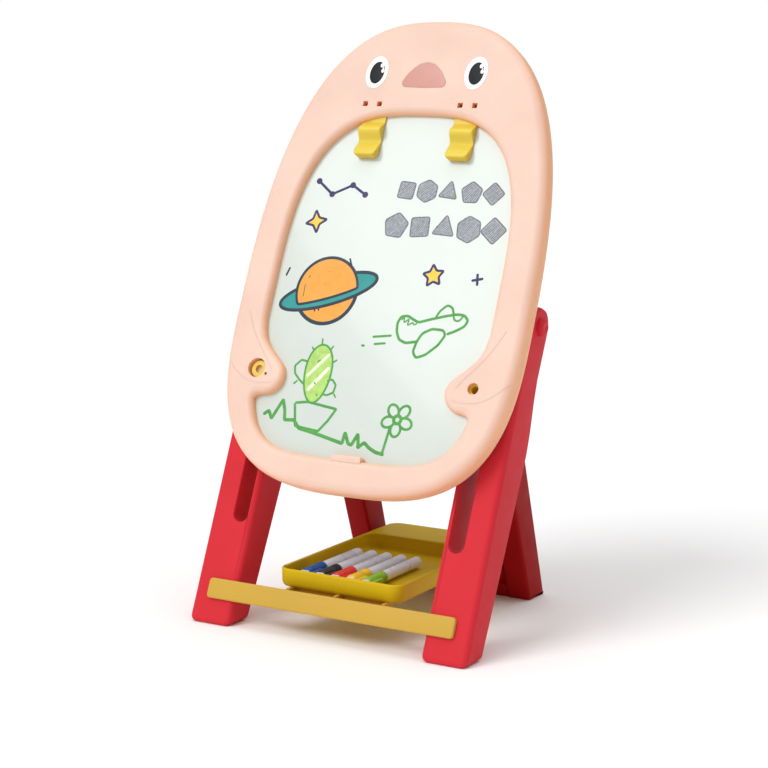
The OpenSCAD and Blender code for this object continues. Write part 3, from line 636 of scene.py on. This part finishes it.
# the bar across the front feet, with the shelf that carries the tray's front edge
bar = dict(half=0.143, low=0.0275, high=0.0485, sunk=-0.0012, proud=0.0045, corner=0.0035, edge=0.0016)
trayLow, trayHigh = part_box("tray")
shelf = dict(half=0.058, y=(-0.1385, -0.106), plate=(0.028, 0.033), rib=0.004, top=trayLow.z - 0.0001,
             frontY=-0.124)
barLine = roundBox(-bar["half"], bar["low"], bar["half"], bar["high"], bar["corner"], 260)
parts = [slab(barLine, bar["sunk"], bar["proud"], bar["edge"], onLean)]
parts.append(slab(roundBox(-shelf["half"], shelf["y"][0], shelf["half"], shelf["y"][1], 0.002, 160),
                  *shelf["plate"], 0.0008, upright))
for x in (-shelf["half"], -shelf["rib"] / 2, shelf["half"] - shelf["rib"]):
    parts.append(slab(roundBox(x, shelf["frontY"], x + shelf["rib"], shelf["y"][1] - 0.0002, 0.001, 60),
                      shelf["plate"][0] + 0.001, shelf["top"], 0.0006, upright))
parts.append(slab(roundBox(-shelf["half"], shelf["y"][1] - shelf["rib"], shelf["half"], shelf["y"][1],
                           0.001, 160),
                  shelf["plate"][0] + 0.001, shelf["top"], 0.0006, upright))
piece("frontBar", joined(parts), "front_stand", "barPlastic", ["front_bar"])

# rear legs and the panel between their feet, drawn from the side and pushed across
rearLeg = dict(lean=math.radians(20), foot=0.034, knee=0.041, head=0.019, x=(0.081, 0.108), edge=0.0032,
               kneeShare=0.6, shin=0.040)
rearFoot = -footFront[1]
along = (rearFoot - hinge[1]) * math.sin(rearLeg["lean"]) + hinge[2] * math.cos(rearLeg["lean"])
inwards = (rearFoot - hinge[1]) * math.cos(rearLeg["lean"]) - hinge[2] * math.sin(rearLeg["lean"])
a = np.radians(np.linspace(95, -100, 48))
sideLine = np.vstack([[(0, 0), (rearLeg["foot"] * math.tan(rearLeg["lean"]), rearLeg["foot"]),
                       (along * rearLeg["kneeShare"] - 0.03, rearLeg["knee"] - 0.001),
                       (along * rearLeg["kneeShare"], rearLeg["knee"]),
                       (along * rearLeg["kneeShare"] + 0.03, rearLeg["knee"] - 0.0012)],
                      np.stack([along + rearLeg["head"] * np.cos(a),
                                inwards + rearLeg["head"] * np.sin(a)], -1),
                      [(along - rearLeg["shin"], 0)]])
sideLine = evenLine(sideLine, 420, 0.0009)[::-1]


# the same closed line, turned round if its left side looks outwards at the place given
def runInside(line, at):
    return line if leftward(line)[at] @ (line.mean(0) - line[at]) > 0 else line[::-1]


# a point of the rear legs' side view, carried to its place: up their own lean and in from their back face
def onRear(u, v, x):
    return upright(x, rearFoot - u * math.sin(rearLeg["lean"]) - v * math.cos(rearLeg["lean"]),
                   u * math.cos(rearLeg["lean"]) - v * math.sin(rearLeg["lean"]))


# the rear legs and panel use the darker red copy, painted shade
for side, word in ((-1, "left"), (1, "right")):
    low, high = sorted((side * rearLeg["x"][0], side * rearLeg["x"][1]))
    piece("rearLeg" + word.title(), slab(runInside(sideLine, 0), low, high, rearLeg["edge"], onRear),
          "rear_stand", "rearRedPaintedShade", ["rear_leg_" + word], sharp=50)
panel = dict(half=0.081, top=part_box("rear_cross_panel")[1].z, back=0.008)
panel["steps"] = ((0, 0.002), (0.014, 0.002), (0.017, 0.006), (0.032, 0.006), (0.035, 0.010),
                  (panel["top"], 0.010))
leanBack = math.tan(rearLeg["lean"])
frontY = rearFoot - rearLeg["foot"] / math.cos(rearLeg["lean"])
stepped = [(frontY - {0.017: 0.014, 0.035: 0.032}.get(z, z) * leanBack + proud, z)
           for z, proud in panel["steps"]]
backY = rearFoot - panel["back"]
panelLine = evenLine([(backY, 0)] + stepped + [(backY - panel["top"] * leanBack, panel["top"])], 300,
                     0.0005)
panelLine = runInside(panelLine, 10)
piece("rearPanel", slab(panelLine, -panel["half"], panel["half"], 0.001, lambda y, z, x: upright(x, y, z)),
      "rear_stand", "rearRedPaintedShade", ["rear_cross_panel"], sharp=50)
print("stand made")

# tray: one skin from the underside up the outer wall, over a rounded rim and down into the basin
tray = dict(half=0.072, front=-0.119, back=0.128, low=trayLow.z, top=trayHigh.z, corner=0.014,
            basinBack=0.068, floor=trayLow.z + 0.0028,
            wall=0.0038, basinCorner=0.011, rim=0.0018, fillet=0.0040, foot=0.002)
trayLine = roundBox(-tray["half"], tray["front"], tray["half"], tray["back"], tray["corner"], 360)
basinLine = roundBox(-tray["half"] + tray["wall"], tray["front"] + tray["wall"],
                     tray["half"] - tray["wall"], tray["basinBack"], tray["basinCorner"], 360)
inTray, inBasin = leftward(trayLine), leftward(basinLine)
rows = [upright(*(trayLine + inTray * (tray["foot"] + 0.0012)).T, tray["low"]),
        upright(*(trayLine + inTray * tray["foot"]).T, tray["low"] + 0.0010),
        upright(*(trayLine + inTray * 0.0006).T, tray["low"] + 0.0040)]
rows += [upright(*(trayLine + inTray * i).T, tray["top"] - d) for i, d in quarter(tray["rim"])]
start, end = trayLine + inTray * tray["rim"], basinLine - inBasin * tray["rim"]
rows += [upright(*(start + (end - start) * k).T, tray["top"]) for k in np.linspace(0, 1, 10)[1:-1]]
rows += [upright(*(basinLine - inBasin * i).T, tray["top"] - d) for i, d in quarter(tray["rim"])[::-1]]
rows += [upright(*(basinLine + inBasin * tray["fillet"] * (1 - math.cos(k))).T,
                 tray["floor"] + tray["fillet"] * (1 - math.sin(k))) for k in np.linspace(0, np.pi / 2, 7)]
piece("markerTray", turnedOut(skin(rows)), "tray", "trayPlastic", ["tray"])
# caps over the axle's ends, domed
cap = dict(radius=0.009, deep=0.006, round=0.0035)
for side, word in ((-1, "Left"), (1, "Right")):
    dome = [(0, cap["radius"] - 0.0004), (0.0003, cap["radius"])]
    dome += [(cap["deep"] - d, cap["radius"] - i) for i, d in quarter(cap["round"])]
    dome += [(cap["deep"], 0.003), (cap["deep"] - 0.0003, 0.0026), (cap["deep"] - 0.0003, 0.0001)]
    made = turned(dome, (side * leg["outer"], hinge[1], hinge[2]), (side, 0, 0))
    standsFor = ["hinge_caps"] if side < 0 else ()
    piece("hingeCap" + word, made, "front_stand", "redPlastic", standsFor)
print("tray and caps made")

# markers: a squared white end, a ribbed cap with a side clip, a slim barrel with a rounded tail
endLow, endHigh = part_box("cap_end_1")
marker = dict(first=-0.051, step=0.018, front=-0.108, z=(endLow.z + endHigh.z) / 2, end=0.012,
              endHalf=0.0046, capTo=0.0457, capR=0.0066, barrelTo=0.122, barrelR=0.0058,
              stub=0.0042, stubFrom=0.032, flagX=(0.003, 0.0096), flagZ=(-0.0018, 0.0032),
              flagY=(0.013, 0.031))
markerInks = ("Blue", "Black", "Red", "Yellow", "Green")
for n, ink in zip(range(1, 6), markerInks):
    at = np.array([marker["first"] + (n - 1) * marker["step"], marker["front"], marker["z"]])
    r = marker["capR"]
    capShape = [(marker["end"], r - 0.0012), (marker["end"] + 0.0004, r - 0.0004),
                (marker["end"] + 0.0012, r)]
    capShape += [(y, r - dip) for k in range(7) for y, dip in
                 ((0.0335 + k * 0.0013, 0), (0.0339 + k * 0.0013, 0.00035), (0.0343 + k * 0.0013, 0.00035),
                  (0.0347 + k * 0.0013, 0))]
    capShape += [(marker["capTo"] - 0.0009, r), (marker["capTo"] - 0.0003, r - 0.0003),
                 (marker["capTo"], r - 0.0009)]
    capShape = [(y, q) for y, q in capShape if y <= marker["capTo"]]
    (x0, x1), (y0, y1), (z0, z1) = (c + np.array(marker[k])
                                    for c, k in zip(at, ("flagX", "flagY", "flagZ")))
    flag = slab(roundBox(x0, y0, x1, y1, 0.0012, 80), z0, z1, 0.0009, upright)
    piece("markerCap%d" % n, joined([turned(capShape, at, (0, 1, 0)), flag]), "marker_cap_%d" % n,
          "cap" + ink, ["marker_cap_%d" % n])
    w = marker["endHalf"]
    box = slab(roundBox(at[0] - w, at[2] - w, at[0] + w, at[2] + w, 0.0014, 80), at[1],
               at[1] + marker["end"], 0.0008,
               lambda x, z, y: upright(x, y, z))
    piece("capEnd%d" % n, box, "marker_cap_%d" % n, "endPlastic", ["cap_end_%d" % n])
    q, far = marker["barrelR"], marker["barrelTo"]
    shape = [(marker["stubFrom"], 0.0022), (marker["stubFrom"], marker["stub"]), (0.0460, marker["stub"]),
             (0.0460, q - 0.0005),
             (0.0465, q), (0.1060, q), (0.1063, q - 0.0002), (0.1068, q - 0.0002), (0.1071, q)]
    shape += [(far - 0.003 + 0.0030 * math.sin(k), q * (0.62 + 0.38 * math.cos(k)))
              for k in np.linspace(0, np.pi / 2, 9)]
    shape += [(far, 0.0005)]
    piece("markerBarrel%d" % n, turned(shape, at, (0, 1, 0)), "marker_%d" % n, "barrelPlastic",
          ["marker_barrel_%d" % n])
print("markers made")

# drawings on the white panel, in millimetres across and up the lean; each layer of ink covers the one below
ink = dict(face=board["middle"] + board["panel"], layer=0.00004, sunk=0.00002)


# strokes of one pen as one piece; each is (points, width, closed)
def drawn(name, strokes, layer, look, blur=1.2):
    low, high = ink["face"] - ink["sunk"], ink["face"] + ink["layer"] * layer
    parts = [bead(np.array(p) / 1000, w / 1000, high, low, closed=c, blur=blur / 1000, step=0.0007)
             for p, w, c in strokes]
    return piece(name, joined(parts), "board", look, sharp=70)


# areas coloured in as one piece; each is a closed outline
def coloured(name, outlines, layer, look):
    low, high = ink["face"] - ink["sunk"], ink["face"] + ink["layer"] * layer
    parts = [plainSlab(np.array(o) / 1000, low, high) for o in outlines]
    return piece(name, joined(parts), "board", look, sharp=70)


# outline with tips at one radius and hollows at another
def starLine(x, s, tip, hollow, tips, turn):
    a = turn + np.arange(2 * tips) * np.pi / tips
    r = np.where(np.arange(2 * tips) % 2 == 0, tip, hollow)
    return np.stack([x + r * np.cos(a), s + r * np.sin(a)], -1)


sky = dict(stars=((-99, 435, 12.5, 5.2, 4, 0.22), (52, 384, 12, 6.2, 5, 1.75)),
           chain=[(-106, 480), (-87, 466), (-64, 477), (-47, 467)],
           chainPen=3.1, chainDot=3.4, starPen=3.0, plus=(102, 383, 6.5))
starLines = [starLine(*star) for star in sky["stars"]]
coloured("starFills", [evenLine(line, 120, 1.0) for line in starLines], 1, "inkYellow")
plusX, plusS, plusR = sky["plus"]
drawn("navyInk", [(line, sky["starPen"], True) for line in starLines]
      + [(sky["chain"][k:k + 2], sky["chainPen"], False) for k in range(3)]
      + [([(plusX - plusR, plusS - 1.5), (plusX + plusR, plusS + 1.5)], 3.0, False),
         ([(plusX - 1, plusS + plusR), (plusX + 1, plusS - plusR)], 3.0, False)],
      3, "inkNavy", blur=0.8)
coloured("chainDots", [ringLine(x, k, sky["chainDot"], 32) for x, k in sky["chain"]], 3.4, "inkNavy")

# ringed planet: the whole disc, the ring over it, and then the part of the disc that hides the ring's far side
planet = dict(x=-68, s=360, radius=35.5, tilt=math.radians(18.5), ring=(57, 14.5), near=(50, 8.0), pen=4.9)


# a point of the planet's own axes turned by its tilt and moved to its centre
def planetTurned(u, v):
    c, n = math.cos(planet["tilt"]), math.sin(planet["tilt"])
    return np.stack([planet["x"] + u * c - v * n, planet["s"] + u * n + v * c], -1)


a = np.linspace(0, 2 * np.pi, 160, endpoint=False)
disc = planetTurned(planet["radius"] * np.cos(a), planet["radius"] * np.sin(a))
ringOval = planetTurned(planet["ring"][0] * np.cos(a) + 1.5, planet["ring"][1] * np.sin(a) - 1.0)
lowTurn = math.asin(planet["near"][1] * 0.72 / planet["radius"])
arc = np.linspace(-lowTurn, np.pi + lowTurn, 120)
reach = planet["radius"] * math.cos(lowTurn)
u = np.linspace(-reach, reach, 80)[1:-1]
crown = np.vstack([planetTurned(planet["radius"] * np.cos(arc), planet["radius"] * np.sin(arc)),
                   planetTurned(u, -planet["near"][1] * np.sqrt(1 - (u / planet["near"][0]) ** 2))])
coloured("planetLow", [disc], 1, "inkOrange")
drawn("planetLowLine", [(disc, planet["pen"], True)], 2, "inkDark")
coloured("planetRing", [ringOval], 3, "inkTeal")
drawn("planetRingLine", [(ringOval, planet["pen"], True)], 4, "inkDark")
coloured("planetCrown", [crown], 5, "inkOrange")
marks = [([(-93, 372), (-91.5, 376)], 2.0), ([(-95, 352), (-95.5, 366)], 2.0),
         ([(-78, 341), (-77.5, 336.5)], 2.0), ([(-73.5, 342), (-73, 337.5)], 2.0),
         ([(-121.5, 373), (-118.5, 383)], 2.3), ([(-49, 397), (-44.5, 388)], 2.1)]
spots = [(-69.5, 381), (-57, 379), (-72, 367.5)]
drawn("planetLine", [(crown, planet["pen"], True)] + [(p, w, False) for p, w in marks]
      + [([(x - 0.5, k), (x + 0.5, k)], 2.4, False) for x, k in spots], 6, "inkDark")

# little plane with its trail
wing = [(53, 323), (63, 328.5), (76, 328), (79, 323), (73, 312), (61, 301), (51, 297), (46.5, 303),
        (48.5, 314)]
body = [(49, 314), (36, 311.5), (28, 314.5), (23.5, 323), (22.5, 332), (25.5, 339), (33, 340), (40, 336.5),
        (46, 334), (60, 338.5), (76, 343), (88, 345.5),
        (96, 345), (101, 340), (98, 333.5), (89, 328), (80, 324)]
greens = [(wing, 3.1, True), (body, 3.2, False),
          ([(64, 340), (68, 348), (75, 354.5), (81, 352), (84, 344.5)], 2.7, False),
          ([(84, 343.5), (85.5, 339), (91, 338.5), (95, 344.5)], 2.4, False),
          ([(26, 335), (29.5, 338.5), (29.5, 332), (35, 337.5), (34, 329.5), (40, 334), (41, 330.5),
            (45, 333)], 1.9, False),
          ([(-3, 315), (19, 318)], 2.7, False), ([(0, 307.5), (14, 309.5)], 2.7, False),
          ([(-14, 305), (-9.5, 305)], 2.7, False)]
drawn("planeInk", greens, 2, "inkGreen", blur=1.8)

# potted cactus, grass and a flower
cactus = dict(x=-57.5, s=271, half=(15.5, 31), pen=2.5)
up = np.sin(a)
cactusLine = np.stack([cactus["x"] + cactus["half"][0] * np.cos(a) * (1 + 0.10 * up),
                       cactus["s"] + cactus["half"][1] * up], -1)
coloured("cactusFill", [cactusLine], 1, "inkLime")
drawn("cactusShine", [([(-70, 267), (-48, 293)], 4.6, False), ([(-66, 252), (-45, 279)], 5.4, False)], 2,
      "inkPale")
spikes = [[(-59.5, 301), (-60.5, 309)], [(-68, 295.5), (-71, 299)], [(-48, 297.5), (-45.5, 302)],
          [(-42.5, 284), (-38, 287.5)], [(-79.5, 262), (-84, 257.5)],
          [(-34, 252), (-30.5, 247.5)], [(-61, 283), (-57, 286)], [(-60, 262), (-57.5, 259.5)],
          [(-54.5, 249.5), (-52.5, 247.5)]]
plants = [(cactusLine, cactus["pen"], True),
          ([(-73, 283), (-80, 284), (-86.5, 277), (-84.5, 269), (-78, 263), (-71.5, 258.5)], 2.5, False),
          ([(-45, 264), (-39, 266.5), (-33.5, 261), (-34.5, 253), (-41, 249.5), (-48, 250)], 2.5, False),
          ([(-77, 238), (-62, 240.5), (-43, 238), (-27, 236), (-34, 223), (-43, 211), (-58, 212.5),
            (-71, 214), (-74, 226), (-77, 238)], 3.1, False)]
plants += [(k, 2.0, False) for k in spikes]
drawn("cactusInk", plants, 3, "inkGreen", blur=1.0)
grass = [(-112, 222), (-106, 227), (-101, 219), (-96, 230), (-91.5, 240), (-87, 229), (-85, 219),
         (-74, 220), (-66, 212), (-48, 209), (-24, 204), (-12, 201.5),
         (-11, 213), (-5, 202), (-1, 201), (4, 213), (6.5, 203), (7, 199), (13, 205), (20, 200),
         (28, 196.5), (38, 195)]
petals = [tiltedOval(45 + 10.5 * math.cos(k), 232 + 10.5 * math.sin(k), 7.2, 5.6, k, 160)
          for k in np.radians([54, 126, 198, 270, 342])]
drawn("grassInk", [(grass, 4.1, False), (ringLine(45, 232, 4.6), 3.1, True),
                   ([(38.5, 223), (37, 209), (35.5, 196)], 3.2, False)]
      + [(k, 3.1, True) for k in petals], 2, "inkGreen", blur=1.0)


# the stretch of each parallel line that lies inside a rounded-off convex outline
def hatched(line, angle, gap, random):
    c, n = math.cos(angle), math.sin(angle)
    u, v = line @ (c, n), line @ (-n, c)
    strokes = []
    for at in np.arange(v.min() + gap, v.max() - gap / 2, gap):
        near = u[np.abs(v - at) < gap]
        low, high = near.min() + 1.0 + random.uniform(0, 1), near.max() - 1.0 - random.uniform(0, 1)
        if high - low > 2:
            tilt = random.uniform(-0.5, 0.5)
            strokes.append(([(low * c - (at - tilt) * n, low * n + (at - tilt) * c),
                             (high * c - (at + tilt) * n, high * n + (at + tilt) * c)],
                            random.uniform(0.7, 1.2), False))
    return strokes


# two rows of simple pencilled shapes, each a polygon with that many corners
rowsOfShapes = dict(first=dict(s=475, x=(1, 25, 50, 76, 101), radius=12.5, corners=(4, 6, 3, 5, 4)),
                    second=dict(s=436, x=(-3, 25, 53, 81, 109), radius=14.5, corners=(5, 4, 3, 6, 4)))
pencil = np.random.default_rng(11)
fills, hatching, borders = [], [], []
for row in rowsOfShapes.values():
    for x, corners in zip(row["x"], row["corners"]):
        skew = np.pi / 4 if corners == 4 and x < 90 else 0
        turns = np.pi / 2 + np.arange(corners) * 2 * np.pi / corners + pencil.uniform(-0.12, 0.12) + skew
        line = evenLine(np.stack([x + row["radius"] * np.cos(turns),
                                  row["s"] - 1 + row["radius"] * np.sin(turns)], -1), 160, 1.5)
        fills.append(line)
        borders.append((line, 1.8, True))
        hatching += hatched(line, pencil.uniform(0.7, 1.0), 2.0, pencil)
coloured("pencilFills", fills, 1, "pencilPale")
drawn("pencilLines", borders + hatching, 2, "pencilGrey", blur=0.6)
print("drawings made")

# CAD nodes whose shape stays, each with its own finish
kept = {"whiteboard": "whiteGloss", "chalkboard": "chalkSlate"}
kept.update({"lock_pin_" + word: "yellowPlastic" for word in ("left", "right")})
kept.update({name: "steelPlate" for name in ("clip_pin_left", "clip_pin_right", "frame_screws", "bar_screws",
                                             "hinge_axle", "hinge_spacers", "panel_screws")})
kept.update({"marker_nib_%d" % (n + 1): "cap" + word for n, word in enumerate(markerInks)})
for node, look in kept.items():
    obj = nodes[node]
    obj.data.materials.clear()
    obj.data.materials.append(finish[look])
print("kept nodes finished")

# floor, light and camera
room = dict(floor=6.0)
floorLine = ringLine(0, 0, room["floor"], 96)
floorMesh = bpy.data.meshes.new("floor")
floorMesh.from_pydata(upright(*floorLine.T, 0).tolist(), [], [list(range(len(floorLine)))])
floor = bpy.data.objects.new("floor", floorMesh)
bpy.context.scene.collection.objects.link(floor)
paleFloor = moulded("paleFloor", dict(colour=(254, 254, 254), drift=0.002, roughness=0.8, grain=0.01))
floorMesh.materials.append(paleFloor)

world = bpy.data.worlds.new("paleRoom")
bpy.context.scene.world = world
world.use_nodes = True
tree = world.node_tree
seen, lighting = tree.nodes["Background"], tree.nodes.new("ShaderNodeBackground")
seen.inputs[0].default_value = lighting.inputs[0].default_value = (1, 1, 1, 1)
seen.inputs[1].default_value, lighting.inputs[1].default_value = 1.0, 0.45
rays, either = tree.nodes.new("ShaderNodeLightPath"), tree.nodes.new("ShaderNodeMixShader")
tree.links.new(rays.outputs["Is Camera Ray"], either.inputs[0])
tree.links.new(lighting.outputs[0], either.inputs[1])
tree.links.new(seen.outputs[0], either.inputs[2])
tree.links.new(either.outputs[0], tree.nodes["World Output"].inputs[0])


# a wide soft light a long way off, given by the direction it comes from
def softSun(name, comesFrom, wide, power):
    data = bpy.data.lights.new(name, "SUN")
    data.energy, data.angle = power, math.radians(wide)
    light = bpy.data.objects.new(name, data)
    light.matrix_world = Vector(comesFrom).to_track_quat("Z", "Y").to_matrix().to_4x4()
    bpy.context.scene.collection.objects.link(light)


softSun("keyLight", (-0.30, -0.64, 0.71), 32, 1.5)
softSun("topLight", (0.05, 0.1, 1.0), 60, 1.0)

view = dict(around=math.radians(29.129), above=math.radians(8.8), away=1.96912,
            target=(-0.0158, 0.0, 0.24293), roll=math.radians(0.897), lens=87.83)
toCamera = np.array([math.sin(view["around"]) * math.cos(view["above"]),
                     -math.cos(view["around"]) * math.cos(view["above"]), math.sin(view["above"])])
right = np.array([math.cos(view["around"]), math.sin(view["around"]), 0.0])
up = np.cross(toCamera, right)
rolledRight = right * math.cos(view["roll"]) + up * math.sin(view["roll"])
rolledUp = up * math.cos(view["roll"]) - right * math.sin(view["roll"])
cameraData = bpy.data.cameras.new("camera")
cameraData.lens, cameraData.sensor_width, cameraData.clip_start = view["lens"], 36.0, 0.01
camera = bpy.data.objects.new("camera", cameraData)
bpy.context.scene.collection.objects.link(camera)
place = np.array(view["target"]) + toCamera * view["away"]
turnTo = Matrix((rolledRight, rolledUp, toCamera)).transposed().to_4x4()
camera.matrix_world = Matrix.Translation(place) @ turnTo
bpy.context.scene.camera = camera
bpy.context.scene.view_settings.view_transform = "Standard"
